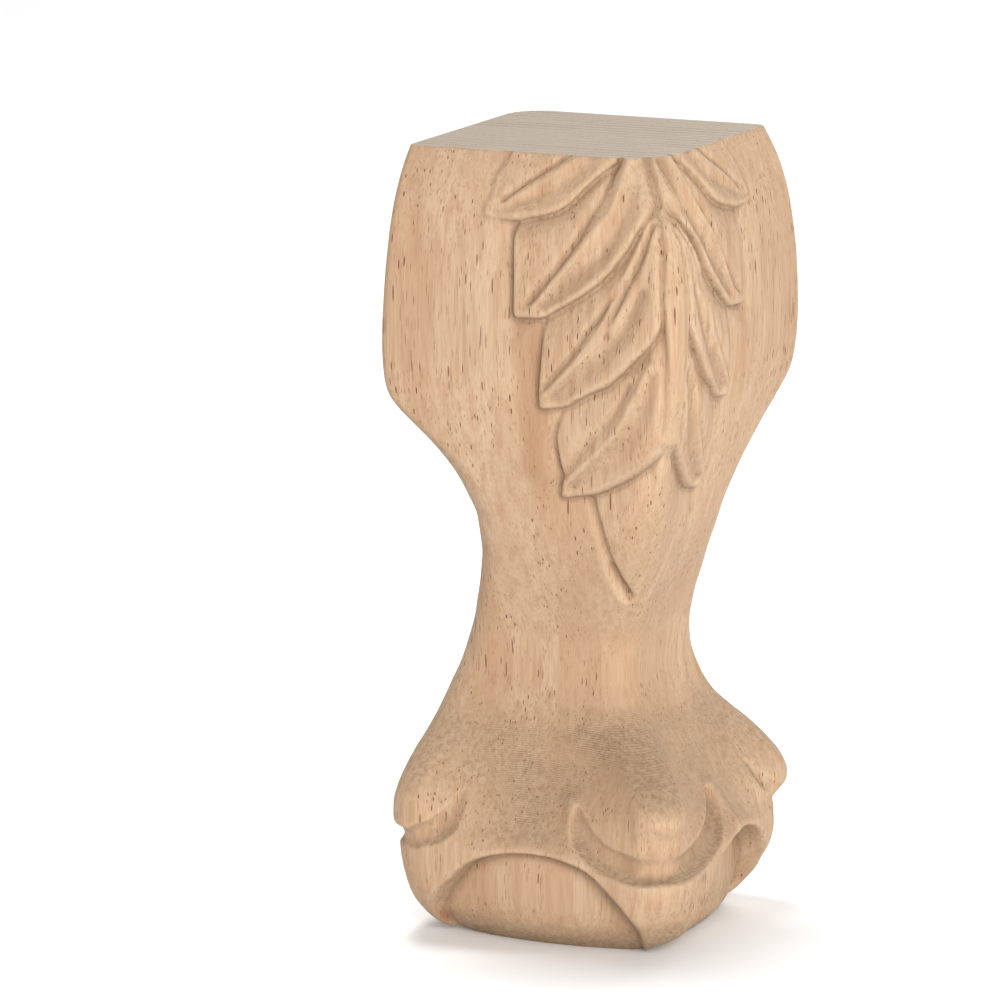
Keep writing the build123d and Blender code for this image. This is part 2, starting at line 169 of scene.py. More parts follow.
def reach_back(x, z):
    """Distance of the +Y flank from the axis at position x."""
    p = section(z)
    p = p[p[:, 1] > 5]
    o = np.argsort(p[:, 0])
    return float(np.interp(x, p[o, 0], p[o, 1]))


# ---------------------------------------------------------------- field helpers
def smax(a, b, k):
    h = np.maximum(k - np.abs(a - b), 0.0) / k
    return np.maximum(a, b) + h * h * k * 0.25


def smin(a, b, k):
    return -smax(-a, -b, k)


def line_distance(px, pz, points):
    """Distance in a plane from every point to a polyline."""
    best = np.full(px.shape, 1e9, np.float32)
    for (x0, z0), (x1, z1) in zip(points[:-1], points[1:]):
        dx, dz = x1 - x0, z1 - z0
        t = np.clip(((px - x0) * dx + (pz - z0) * dz) / max(dx * dx + dz * dz, 1e-9), 0, 1)
        best = np.minimum(best, np.hypot(px - x0 - t * dx, pz - z0 - t * dz))
    return best


def inside(px, pz, polygon):
    """True where a point lies inside a closed polygon."""
    hit = np.zeros(px.shape, bool)
    n = len(polygon)
    for i in range(n):
        x0, z0 = polygon[i]
        x1, z1 = polygon[(i + 1) % n]
        if z0 == z1:
            continue
        cross = (pz < z0) != (pz < z1)
        hit ^= cross & (px < x0 + (pz - z0) * (x1 - x0) / (z1 - z0))
    return hit


def lookup(table, x0, z0, step, x, z):
    """Values of a table between its grid points."""
    fx = np.clip((x - x0) / step, 0, table.shape[0] - 1.001)
    fz = np.clip((z - z0) / step, 0, table.shape[1] - 1.001)
    i, j = fx.astype(np.int32), fz.astype(np.int32)
    a, b = fx - i, fz - j
    return ((table[i, j] * (1 - a) + table[i + 1, j] * a) * (1 - b)
            + (table[i, j + 1] * (1 - a) + table[i + 1, j + 1] * a) * b)


def soften(table, sigma):
    """A light blur of a table."""
    r = max(1, int(round(3 * sigma)))
    w = np.exp(-0.5 * (np.arange(-r, r + 1) / sigma) ** 2)
    w /= w.sum()
    for axis in (0, 1):
        pad = [(0, 0), (0, 0)]
        pad[axis] = (r, r)
        padded = np.pad(table, pad, mode="edge")
        n = table.shape[axis]
        table = sum(wi * (padded[i:i + n] if axis == 0 else padded[:, i:i + n]) for i, wi in enumerate(w))
    return table


# ---------------------------------------------------------------------- the leaf
# Lines of the leaf on the -Y flank, as (x, z); the +X flank has the same lines.
L1 = [(-5.9, 149.0), (-8.0, 145.3), (-8.2, 142.8), (-9.5, 138.8), (-3.8, 137.9), (0.5, 138.7), (4.8, 139.9),
      (7.4, 141.5), (9.8, 144.1), (12.5, 146.8), (15.2, 149.0)]
L2 = [(-2.6, 137.6), (-3.2, 135.3), (-3.0, 130.9), (-2.7, 125.5), (-2.6, 120.7), (-0.3, 120.4), (3.1, 120.6),
      (6.5, 122.5), (11.2, 125.4), (15.1, 128.5), (18.8, 133.1), (21.6, 137.9), (23.1, 140.9)]
L3 = [(3.1, 120.4), (2.9, 116.7), (2.4, 111.0), (1.9, 106.1), (2.1, 103.6), (4.7, 103.7), (7.6, 104.4),
      (10.1, 105.9), (13.5, 107.7), (16.3, 109.1), (20.8, 113.2), (24.4, 117.1), (26.3, 120.2)]
L4 = [(6.1, 103.7), (5.0, 100.1), (4.5, 97.7), (4.8, 93.8), (5.1, 90.3), (4.2, 86.4), (7.5, 86.7), (11.2, 87.4),
      (14.6, 88.9), (18.9, 91.3), (22.8, 94.2), (26.9, 98.1)]
LOBES = [
    # outline, points that close it under the lobes above
    (L1, [(15.2, 153.0), (-4.0, 153.0)]),
    (L2, [(24.5, 153.0), (0.0, 153.0), (0.0, 142.0)]),
    (L3, [(27.2, 130.0), (26.2, 139.0), (24.0, 141.0), (12.0, 134.0), (6.0, 124.0)]),
    (L4, [(28.0, 105.0), (28.0, 115.0), (26.5, 120.0), (12.0, 113.0), (8.0, 106.0)]),
]
RU, RZ, RS = -18.0, 60.0, 0.1


def smooth_step(x):
    x = np.clip(x, 0, 1)
    return x * x * (3 - 2 * x)


def leaf_relief(gouge):
    """Height of the carved leaf over the plain flank, by position and height."""
    u = RU + RS * np.arange(500)
    z = RZ + RS * np.arange(930)
    U, Z = np.meshgrid(u, z, indexing="ij")
    U, Z = U.astype(np.float32), Z.astype(np.float32)
    masks, dists = [], []
    for outline, close in LOBES:
        curve = rounded(outline, 5)
        masks.append(inside(U, Z, [tuple(p) for p in curve] + close))
        dists.append(line_distance(U, Z, curve))
    layer = np.full(U.shape, 4)
    for i in (3, 2, 1, 0):
        layer[masks[i]] = i

    h = np.zeros_like(U)
    # wood sunk beside and below each lobe: deepest at the lobe's edge
    depth = (1.3, 1.75, 1.8, 1.7)
    run = (2.6, 4.4, 4.8, 3.8)
    for i in range(4):
        under = layer > i
        fall = np.exp(-(dists[i] / run[i]) ** 1.15)
        # the ground runs out again to the left of the uppermost lobe and under the last one
        if i == 0:
            fall = fall * (1 - 0.55 * (U < -6.0) * (layer == 4))
        h = np.where(under, np.minimum(h, -depth[i] * fall), h)

    # each lobe rolls over a little at its own edge
    for i in range(4):
        own = layer == i
        h = np.where(own, h - 0.35 * np.exp(-(dists[i] / 0.45) ** 2), h)

    def line(points, height, half, only=None, taper=0.0):
        """A rib (+) or groove (-) along a line, pointed at its ends if asked."""
        nonlocal h
        curve = rounded(points, 6)
        d = line_distance(U, Z, curve)
        add = height * np.exp(-(d / half) ** 2)
        if taper:
            e = np.minimum(np.hypot(U - curve[0][0], Z - curve[0][1]), np.hypot(U - curve[-1][0], Z - curve[-1][1]))
            add = add * np.clip(e / taper, 0, 1)
        if only is not None:
            add = np.where(only, add, 0)
        h = h + add

    one, two, three, four = (layer == i for i in range(4))
    # first lobe
    line([(-5.8, 141.5), (-0.8, 145.2), (5.2, 149.3), (8.0, 152.0)], -0.75, 0.55, one)
    line([(-6.5, 140.4), (0.5, 144.6), (5.5, 147.9), (10.5, 152.0)], 0.25, 0.75, one)
    line([(-6.5, 140.0), (0.0, 142.0), (4.6, 144.0), (9.0, 147.4), (12.0, 151.0)], -0.55, 1.35, one)
    line([(-7.9, 138.9), (0.5, 139.6), (4.7, 141.0), (7.3, 142.4), (12.4, 147.6)], 0.12, 0.6, one)
    # second lobe
    line([(0.4, 123.4), (3.2, 126.8), (8.5, 133.4), (10.6, 137.1), (13.3, 141.9), (14.7, 145.8), (15.8, 151.5)], -0.85, 0.85, two)
    line([(1.4, 122.9), (3.9, 125.6), (10.1, 133.2), (13.0, 137.0), (15.8, 140.8), (17.1, 145.4), (18.0, 151.5)], 0.6, 0.75, two)
    line([(3.2, 123.4), (11.1, 129.9), (15.6, 134.5), (18.3, 139.6), (19.8, 145.0), (20.2, 151.5)], -1.05, 1.75, two)
    line([(-0.7, 121.6), (6.5, 123.4), (12.7, 127.6), (17.3, 132.2), (20.2, 136.6), (22.4, 140.2)], 0.15, 0.7, two)
    # third lobe
    line([(3.2, 107.6), (8.6, 113.7), (12.0, 118.6), (15.2, 122.6), (18.8, 128.0)], -0.6, 0.7, three)
    line([(3.6, 106.4), (10.1, 112.9), (13.7, 117.0), (16.9, 120.3), (20.4, 125.3)], 0.6, 0.75, three)
    line([(5.2, 105.6), (11.2, 110.6), (16.2, 115.4), (19.8, 120.2), (22.4, 126.0)], -1.0, 1.7, three)
    line([(14.5, 118.5), (17.6, 126.2), (20.5, 132.2), (23.1, 139.1)], 0.5, 0.6, three)
    line([(15.8, 118.0), (19.0, 125.8), (21.9, 132.0), (23.8, 138.4)], -0.7, 0.55, three)
    line([(17.4, 118.0), (21.0, 125.5), (23.4, 131.8), (24.5, 137.8)], 0.3, 0.55, three)
    # fourth lobe
    line([(5.4, 90.6), (10.6, 96.6), (16.0, 102.6), (19.8, 109.0)], -0.5, 0.75, four)
    line([(5.6, 89.2), (12.3, 95.2), (17.7, 101.0), (21.4, 107.6), (24.4, 113.4)], 0.55, 0.8, four)
    line([(7.4, 88.4), (13.8, 93.2), (19.2, 98.6), (22.8, 104.8), (25.0, 110.6)], -0.75, 1.6, four)
    # the midrib stands at full height between the lobes of the two flanks
    edge = np.interp(Z, [98.4, 105.1, 114.8, 125.7, 133.0, 139.3], [25.6, 27.0, 27.2, 26.5, 26.4, 25.6])
    h = h * (1 - smooth_step(U - edge + 0.7) * smooth_step((Z - 95) / 4) * (1 - smooth_step((Z - 138.5) / 3)))
    # side of the midrib, pointed hollow at the top, gouge down the shin
    line([(25.6, 139.3), (26.4, 133.0), (26.5, 125.7), (27.2, 114.8), (27.0, 105.1), (25.6, 98.4)], -0.95, 0.7, taper=3.0)
    if gouge > 0.5:
        line([(25.0, 139.4), (23.7, 142.8), (22.3, 146.0), (21.1, 148.5), (19.8, 153.0)], -2.4, 1.0, taper=4.0)
    else:
        line([(18.4, 152.0), (18.9, 148.5), (20.5, 141.5), (22.6, 137.4)], -1.0, 0.7, taper=4.0)
    line([(9.9, 86.0), (10.7, 82.4), (11.6, 77.5), (13.0, 71.5), (14.4, 66.4)], -0.95 * gouge, 0.75)
    line([(12.3, 73.0), (13.3, 69.6), (14.3, 66.6)], -0.9 * gouge, 0.95)
    return soften(h, 1.3)


# ------------------------------------------------------------------ distance field
axis_xy = -31.0 + STEP * np.arange(int(62 / STEP) + 2)
axis_z = -1.7 * STEP + STEP * np.arange(int((HEIGHT + 1.6) / STEP) + 4)
GX, GY = np.meshgrid(axis_xy, axis_xy, indexing="ij")
RHO, THETA = np.hypot(GX, GY), np.arctan2(GY, GX)

N_ANGLE = 1440
angles = -math.pi + 2 * math.pi * np.arange(N_ANGLE) / N_ANGLE
radius = np.zeros((len(axis_z), N_ANGLE))
for k, zk in enumerate(axis_z):
    outline = section(min(max(zk, 0.0), HEIGHT))
    radius[k] = np.interp(angles, *(lambda a, r: (a[np.argsort(a)], r[np.argsort(a)]))(
        np.arctan2(outline[:, 1], outline[:, 0]), np.hypot(outline[:, 0], outline[:, 1])), period=2 * math.pi)
inset = smooth_through([0, 5, 9.6, 12.7, 15.7, 19, 21.2, 22.6, 24.2, 25.5],
                       [1.6, 3.0, 3.1, 1.8, 1.5, 2.0, 2.8, 1.6, 0.3, 0.0], axis_z)
radius -= inset[:, None] * np.exp(-((angles - math.pi / 4) / 0.3) ** 2)[None, :]
inset = smooth_through([14.6, 16.2, 18.0, 20.0, 23.0, 25.5, 28.0, 31.0], [0.0, 0.6, 2.0, 2.7, 2.6, 1.7, 0.6, 0.0], axis_z)
inset *= (axis_z > 14.6) & (axis_z < 31.0)
radius -= inset[:, None] * np.exp(-((angles + math.pi / 4) / 0.42) ** 2)[None, :]
turn_slope = (np.roll(radius, -1, 1) - np.roll(radius, 1, 1)) / (4 * math.pi / N_ANGLE)
rise_slope = np.gradient(radius, STEP, axis=0)

at = (THETA + math.pi) / (2 * math.pi) * N_ANGLE
a0 = np.floor(at).astype(int) % N_ANGLE
a1 = (a0 + 1) % N_ANGLE
af = at - np.floor(at)
field = np.zeros(GX.shape + (len(axis_z),), np.float32)
for k in range(len(axis_z)):
    r = radius[k, a0] * (1 - af) + radius[k, a1] * af
    rt = turn_slope[k, a0] * (1 - af) + turn_slope[k, a1] * af
    rz = rise_slope[k, a0] * (1 - af) + rise_slope[k, a1] * af
    field[:, :, k] = (RHO - r) / np.sqrt(1 + (rt / np.maximum(RHO, 4)) ** 2 + rz ** 2)

# leaf on the two front flanks
relief_front, relief_side = leaf_relief(1.0), leaf_relief(0.12)
k0 = int(np.searchsorted(axis_z, RZ))
share = smooth_step((GX + GY + 1.5) / 3.0)
for k in range(k0, len(axis_z)):
    level = np.full(GX.shape, axis_z[k])
    # the midrib sits a little round the corner, so the side lobes are narrower
    push = 3.9 * (1 - smooth_step((axis_z[k] - 131.0) / 10.0))
    side = -GY + push * smooth_step((-GY - 4.0) / 18.0)
    field[:, :, k] -= ((1 - share) * lookup(relief_front, RU, RZ, RS, GX, level)
                       + share * lookup(relief_side, RU, RZ, RS, side, level))

# faint waviness of a hand-finished surface
for k in range(len(axis_z)):
    zk = axis_z[k]
    field[:, :, k] += (0.05 * np.sin(GX * 0.31 + 1.3 * math.sin(zk * 0.05)) * np.sin(GY * 0.27 + zk * 0.08)
                       + 0.03 * np.sin(GX * 0.83 - GY * 0.71 + zk * 0.19))

# ------------------------------------------------------------------------- foot
kf = int(np.searchsorted(axis_z, 40.0))
foot = field[:, :, :kf].astype(np.float64)
PX, PY = GX[:, :, None], GY[:, :, None]
PZ = axis_z[None, None, :kf]
RR = RHO[:, :, None]

# groove round each toe: (x, z, radius, lift) along one flank, mirrored over the corner
front_arm = [(7.6, 27.6, 0.5, 0.2), (8.4, 25.6, 1.5, 0.2), (10.2, 23.0, 2.3, 0.1), (14.0, 20.2, 2.7, -0.2), (19.6, 18.5, 2.7, -0.3)]
flank_arm = [(-0.8, 27.4, 0.5, 0.2), (0.2, 25.4, 1.5, 0.2), (3.0, 22.8, 2.3, 0.1), (8.6, 20.2, 2.7, -0.2), (16.6, 18.5, 2.7, -0.3)]
front_fold = [(12.2, 20.4, 0.3, -0.6), (15.4, 18.6, 0.9, -1.0), (20.0, 17.5, 1.2, -1.2)]
flank_fold = [(6.6, 20.4, 0.3, -0.6), (11.4, 18.6, 0.9, -1.0), (18.0, 17.5, 1.2, -1.2)]
left_arm = [(-15.0, 29.0, 0.5, 0.2), (-15.6, 26.4, 1.5, 0.6), (-17.0, 23.8, 2.4, 1.0), (-19.6, 21.6, 2.7, 1.3), (-23.0, 20.3, 2.4, 1.1)]
right_arm = [(-15.5, 29.6, 0.5, 0.2), (-16.6, 27.0, 1.1, 0.4), (-18.5, 24.4, 1.5, 0.6), (-21.5, 22.6, 1.7, 0.7), (-24.5, 21.8, 1.7, 0.7)]
back_arm = [(10.6, 28.4, 0.5, 0.2), (11.8, 25.6, 1.3, 0.4), (14.2, 22.8, 1.9, 0.6), (18.0, 20.6, 2.2, 0.7), (22.0, 19.6, 2.3, 0.7)]


def on_front(arm):
    return [(x, -(reach_front(x, z) + lift), z, r) for x, z, r, lift in arm]


def on_back(arm):
    return [(x, reach_back(x, z) + lift, z, r) for x, z, r, lift in arm]


def over(points):
    return [(-y, -x, z, r) for x, y, z, r in points]


def toe_corner(sx, sy, z, r, lift):
    """Points round the corner of a toe, from the flank facing -Y or +Y to the other."""
    rf = float(smooth_through(STATIONS[:, 0], STATIONS[:, 5], z))
    wf = float(smooth_through(STATIONS[:, 0], STATIONS[:, 1], z))
    points = []
    for turn in (78, 56, 45, 34, 12):
        a = math.radians(turn)
        points.append((sx * (wf - rf + (rf + lift) * math.cos(a)), sy * (wf - rf + (rf + lift) * math.sin(a)), z, r))
    return points


arm_r, arm_b = on_back(back_arm), on_back([(-x, z, r, lift) for x, z, r, lift in back_arm])
toes = [
    on_front(front_arm) + toe_corner(1, -1, 18.1, 2.6, -0.2) + over(on_front(flank_arm))[::-1],
    on_front(front_fold) + toe_corner(1, -1, 17.1, 1.3, -1.4) + over(on_front(flank_fold))[::-1],
    on_front(left_arm) + toe_corner(-1, -1, 19.6, 2.0, 0.8) + over(arm_r)[::-1],
    over(on_front(right_arm)) + toe_corner(1, 1, 21.3, 1.6, 0.6)[::-1] + arm_r[::-1],
    arm_b + toe_corner(-1, 1, 18.9, 2.2, 0.7) + over(arm_b)[::-1],
]


def tube(points):
    """Distance to a round-section run of changing radius."""
    best = np.full(foot.shape, 1e9)
    for p, q in zip(points[:-1], points[1:]):
        d = q[:3] - p[:3]
        t = np.clip(((PX - p[0]) * d[0] + (PY - p[1]) * d[1] + (PZ - p[2]) * d[2]) / (d @ d), 0, 1)
        gap = np.sqrt((PX - p[0] - t * d[0]) ** 2 + (PY - p[1] - t * d[1]) ** 2 + (PZ - p[2] - t * d[2]) ** 2)
        best = np.minimum(best, gap - (p[3] + t * (q[3] - p[3])))
    return best


grooves = np.full(foot.shape, 1e9)
for toe in toes:
    grooves = np.minimum(grooves, tube(rounded(toe, 4)))
# the wood swells a little where a groove of the front toe runs out
for here, along, near, run in ((PY < 0, PX, 6.0, ((6.0, 28.6), (7.4, 24.4))), (PX > 0, PY, 3.4, ((2.2, 27.6), (2.8, 21.0)))):
    gap = line_distance(np.broadcast_to(along, foot.shape), np.broadcast_to(PZ, foot.shape), run)
    foot -= np.where(here, 0.75 * np.exp(-(gap / 1.7) ** 2), 0)
foot = smax(foot, -grooves, 0.5)

# arched recess on each side, with the ball left standing inside it
arch = rounded(ARCH, 6)
arch = np.vstack([arch, [(-x, z) for x, z in arch[-2::-1]]])
ax = np.arange(0, 40, 0.15)
az = np.arange(-4, 26, 0.15)
AX, AZ = np.meshgrid(ax, az, indexing="ij")
arch_table = line_distance(AX, AZ, arch)
arch_table = np.where(inside(AX, AZ, [tuple(p) for p in arch]), -arch_table, arch_table)
near = rounded(ARCH_SIDE, 6)
sx = np.arange(-40, 40, 0.15)
SX, SZ = np.meshgrid(sx, az, indexing="ij")
side_table = line_distance(SX, SZ, near)
side_table = np.where(inside(SX, SZ, [tuple(p) for p in near]), -side_table, side_table)
ball_z = [b[1] for b in BALL]
ball_r = [b[0] for b in BALL]
r_ball = smooth_through(ball_z, ball_r, PZ)
ball_rise = (smooth_through(ball_z, ball_r, PZ + 0.1) - smooth_through(ball_z, ball_r, PZ - 0.1)) / 0.2
bulge_x = np.abs(PX) - r_ball + 0.14 * np.abs(PY) ** 2 / r_ball / 0.86 ** 2
bulge_y = np.abs(PY) - r_ball + 0.14 * np.abs(PX) ** 2 / r_ball / 0.86 ** 2
bulge_x = bulge_x + np.where(PX > 0, 2.0 * smooth_step((PZ - 0.5) / 5.0), 0.0)
ball = smax(bulge_x, bulge_y, 1.5) / np.sqrt(1 + ball_rise ** 2)
HIGH = np.broadcast_to(PZ, foot.shape)
for lateral, outward, table, start in ((np.abs(PX), np.abs(PY), arch_table, 0.0), (np.abs(PY), -PX, arch_table, 0.0), (PY, PX, side_table, -40.0)):
    spread = np.maximum(1 + (outward - ARCH_REACH) * ARCH_FLARE / ARCH[3][0], 0.35)
    wall = lookup(table, start, -4.0, 0.15, np.broadcast_to(lateral / spread, foot.shape), HIGH) * 0.93
    recess = smax(smax(wall, -ball, 1.0), 8.0 - outward, 1.0)
    foot = smax(foot, -recess, 1.0)
field[:, :, :kf] = foot.astype(np.float32)

def box_mean(f, r):
    """Mean of the field over a small cube round every grid point."""
    for axis in range(3):
        pad = [(0, 0)] * 3
        pad[axis] = (r + 1, r)
        total = np.cumsum(np.pad(f, pad, mode="edge"), axis=axis, dtype=np.float64)
        n = f.shape[axis]
        hi = [slice(None)] * 3
        lo = [slice(None)] * 3
        hi[axis], lo[axis] = slice(2 * r + 1, 2 * r + 1 + n), slice(0, n)
        f = ((total[tuple(hi)] - total[tuple(lo)]) / (2 * r + 1)).astype(np.float32)
    return f


# concavity measures of the form, used by the material for painted shade in hollows and recesses and painted highlight
# on ridges
hollow = box_mean(field, max(1, round(1.0 / STEP)))
np.subtract(field, hollow, out=hollow)      # above zero in hollows, below on ridges
wide = box_mean(field, max(2, round(3.6 / STEP)))
np.subtract(field, wide, out=wide)

# flat top and sole, and the overall size
field = np.maximum(field, (axis_z - HEIGHT)[None, None, :])
field = np.maximum(field, -axis_z[None, None, :])
limit = HALF - 0.005
field = np.maximum(field, (np.maximum(np.abs(GX), np.abs(GY)) - limit)[:, :, None]).astype(np.float32)


# -------------------------------------------------------------- field to mesh
def skin(f, origin, step):
    """One vertex in every cell that the surface crosses, one quad per crossed edge."""
    sign = f < 0
    count = np.zeros(tuple(n - 1 for n in f.shape), np.int8)
    for i in (0, 1):
        for j in (0, 1):
            for k in (0, 1):
                count += sign[i:f.shape[0] - 1 + i, j:f.shape[1] - 1 + j, k:f.shape[2] - 1 + k]
    active = (count > 0) & (count < 8)
    cells = np.argwhere(active)
    index = np.full(count.shape, -1, np.int32)
    index[active] = np.arange(len(cells))
    total, hits = np.zeros((len(cells), 3)), np.zeros(len(cells))
    for axis in range(3):
        for p in (0, 1):
            for q in (0, 1):
                lo = np.zeros(3, int)
                lo[(axis + 1) % 3], lo[(axis + 2) % 3] = p, q
                hi = lo.copy()
                hi[axis] = 1
                fa = f[tuple((cells + lo).T)].astype(float)
                fb = f[tuple((cells + hi).T)].astype(float)
                cut = (fa < 0) != (fb < 0)
                t = fa[cut] / (fa[cut] - fb[cut])
                total[cut] += lo
                total[cut, axis] += t
                hits[cut] += 1
    verts = origin + step * (cells + total / hits[:, None])
    quads = []
    for axis in range(3):
        a, b = (axis + 1) % 3, (axis + 2) % 3
        head = [slice(None)] * 3
        tail = [slice(None)] * 3
        head[axis], tail[axis] = slice(0, -1), slice(1, None)
        low, high = sign[tuple(head)], sign[tuple(tail)]
        where = np.argwhere(low != high)
        ok = (where[:, a] > 0) & (where[:, b] > 0) & (where[:, a] < f.shape[a] - 1) & (where[:, b] < f.shape[b] - 1)
        where = where[ok]
        outward = low[tuple(where.T)]
        corners = []
        for da, db in ((-1, -1), (0, -1), (0, 0), (-1, 0)):
            c = where.copy()
            c[:, a] += da
            c[:, b] += db
            corners.append(index[tuple(c.T)])
        q = np.stack(corners, 1)
        q[~outward] = q[~outward][:, ::-1]
        quads.append(q)
    return verts, np.vstack(quads)


def sample(f, points, origin, step):
    """Field values between the grid points."""
    g = np.clip((points - origin) / step, 0, np.array(f.shape) - 1.001)
    i = g.astype(int)
    w = g - i
    out = np.zeros(len(points))
    for a in (0, 1):
        for b in (0, 1):
            for c in (0, 1):
                wt = (w[:, 0] if a else 1 - w[:, 0]) * (w[:, 1] if b else 1 - w[:, 1]) * (w[:, 2] if c else 1 - w[:, 2])
                out += wt * f[i[:, 0] + a, i[:, 1] + b, i[:, 2] + c]
    return out


origin = np.array([axis_xy[0], axis_xy[0], axis_z[0]])
verts, quads = skin(field, origin, STEP)
verts = np.clip(verts, [-limit, -limit, 0.0], [limit, limit, HEIGHT])


def new_mesh(name, points, faces):
    mesh = bpy.data.meshes.new(name)
    mesh.vertices.add(len(points))
    mesh.vertices.foreach_set("co", np.ascontiguousarray(points, np.float32).ravel())
    mesh.loops.add(faces.size)
    mesh.loops.foreach_set("vertex_index", np.ascontiguousarray(faces, np.int32).ravel())
    mesh.polygons.add(len(faces))
    mesh.polygons.foreach_set("loop_start", np.arange(0, faces.size, faces.shape[1], dtype=np.int32))
    mesh.update(calc_edges=True)
    mesh.validate()
    return mesh


rough = bpy.data.objects.new("leg_rough", new_mesh("leg_rough", verts * 0.001, quads))
bpy.context.scene.collection.objects.link(rough)
thin = rough.modifiers.new("thin", "DECIMATE")
thin.ratio = min(1.0, 186000 / (2 * len(quads)))
thin.use_collapse_triangulate = True
bpy.context.view_layer.update()
done = bpy.data.meshes.new_from_object(rough.evaluated_get(bpy.context.evaluated_depsgraph_get()))
done.name = "leg_carved"
bpy.data.objects.remove(rough)
leg = bpy.data.objects.new("leg_carved", done)
bpy.context.scene.collection.objects.link(leg)
done.polygons.foreach_set("use_smooth", np.ones(len(done.polygons), bool))
done.set_sharp_from_angle(angle=math.radians(48))
where = np.zeros(len(done.vertices) * 3, np.float32)
done.vertices.foreach_get("co", where)
where = np.clip(where.reshape(-1, 3), [-0.029995, -0.029995, 0.0], [0.029995, 0.029995, 0.149999]).astype(np.float32).ravel()
done.vertices.foreach_set("co", where)
done.update()
# the concavity measures go onto the mesh, where the material turns them into painted shade and painted highlight
depth_of_hollow = sample(hollow, where.reshape(-1, 3) * 1000.0, origin, STEP)
done.attributes.new("hollow", "FLOAT", "POINT").data.foreach_set("value", depth_of_hollow.astype(np.float32))
depth_of_wide = sample(wide, where.reshape(-1, 3) * 1000.0, origin, STEP)
done.attributes.new("recess", "FLOAT", "POINT").data.foreach_set("value", depth_of_wide.astype(np.float32))


# --------------------------------------------------------------------- material
def srgb(r, g, b):
    return tuple(0.75 * (c / 255 / 12.92 if c / 255 <= 0.04045 else ((c / 255 + 0.055) / 1.055) ** 2.4) for c in (r, g, b)) + (1.0,)


wood = bpy.data.materials.new("rubber_wood")
wood.use_nodes = True
nodes, links = wood.node_tree.nodes, wood.node_tree.links
bsdf = nodes["Principled BSDF"]


def node(kind, **values):
    n = nodes.new(kind)
    for key, value in values.items():
        if key in n.inputs:
            n.inputs[key].default_value = value
        else:
            setattr(n, key, value)
    return n


def put(value, socket):
    if isinstance(value, bpy.types.NodeSocket):
        links.new(value, socket)
    else:
        socket.default_value = value


def math_node(op, a, b=0.0, c=0.0, clamp=False):
    n = nodes.new("ShaderNodeMath")
    n.operation = op
    n.use_clamp = clamp
    for i, v in enumerate((a, b, c)):
        put(v, n.inputs[i])
    return n.outputs[0]


def mix(factor, a, b, blend="MIX"):
    n = nodes.new("ShaderNodeMix")
    n.data_type = "RGBA"
    n.blend_type = blend
    put(factor, n.inputs[0])
    put(a, n.inputs[6])
    put(b, n.inputs[7])
    return n.outputs[2]


def step_map(value, lo, hi, to_lo=0.0, to_hi=1.0):
    n = nodes.new("ShaderNodeMapRange")
    n.interpolation_type = "SMOOTHSTEP"
    put(value, n.inputs[0])
    for i, v in enumerate((lo, hi, to_lo, to_hi)):
        put(v, n.inputs[1 + i])
    return n.outputs[0]


place = nodes.new("ShaderNodeTexCoord").outputs["Object"]


def scaled(x, y, z, offset=(0, 0, 0)):
    """Position in the wood, in units of x, y and z millimetres."""
    n = nodes.new("ShaderNodeMapping")
    n.inputs["Scale"].default_value = (1000 / x, 1000 / y, 1000 / z)
    n.inputs["Location"].default_value = offset
    links.new(place, n.inputs["Vector"])
    return n.outputs[0]


def noise(vector, detail=2.0, rough=0.5, distortion=0.0):
    n = node("ShaderNodeTexNoise", Scale=1.0, Detail=detail, Roughness=rough, Distortion=distortion)
    links.new(vector, n.inputs["Vector"])
    return n.outputs["Fac"]


def cells(vector):
    n = node("ShaderNodeTexVoronoi", Scale=1.0, Randomness=1.0)
    links.new(vector, n.inputs["Vector"])
    return n.outputs["Distance"], n.outputs["Color"]


normal_z = nodes.new("ShaderNodeSeparateXYZ")
links.new(nodes.new("ShaderNodeNewGeometry").outputs["Normal"], normal_z.inputs[0])
up = normal_z.outputs[2]
end_grain = step_map(math_node("ABSOLUTE", up), 0.12, 0.85)
spot = nodes.new("ShaderNodeSeparateXYZ")
links.new(place, spot.inputs[0])
flat_top = math_node("MULTIPLY", step_map(up, 0.93, 0.99), step_map(spot.outputs[2], 0.1484, 0.1493))

saw = node("ShaderNodeTexWave", wave_type="BANDS", bands_direction="Y", Scale=0.112, Distortion=2.6, Detail=2.0)
saw.inputs["Detail Scale"].default_value = 0.25
links.new(scaled(1.0, 1.0, 1.0), saw.inputs["Vector"])
saw_lines = saw.outputs["Fac"]

# broad bands and finer streaks along the grain
bands = noise(scaled(9, 9, 90), 3.0, 0.55, 0.6)
streaks = noise(scaled(1.3, 1.3, 30, (3, 1, 0)), 3.0, 0.6)
fibres = noise(scaled(0.32, 0.32, 7, (1, 7, 0)), 2.0, 0.6)
patches = noise(scaled(26, 26, 60, (5, 2, 1)), 2.0, 0.5)
colour = mix(step_map(bands, 0.32, 0.68), srgb(221, 189, 156), srgb(208, 171, 136))
colour = mix(step_map(streaks, 0.42, 0.7, 0.0, 0.6), colour, srgb(194, 150, 115))
colour = mix(step_map(patches, 0.45, 0.75, 0.0, 0.4), colour, srgb(222, 184, 150))
colour = mix(step_map(fibres, 0.4, 0.72, 0.0, 0.34), colour, srgb(186, 142, 106))
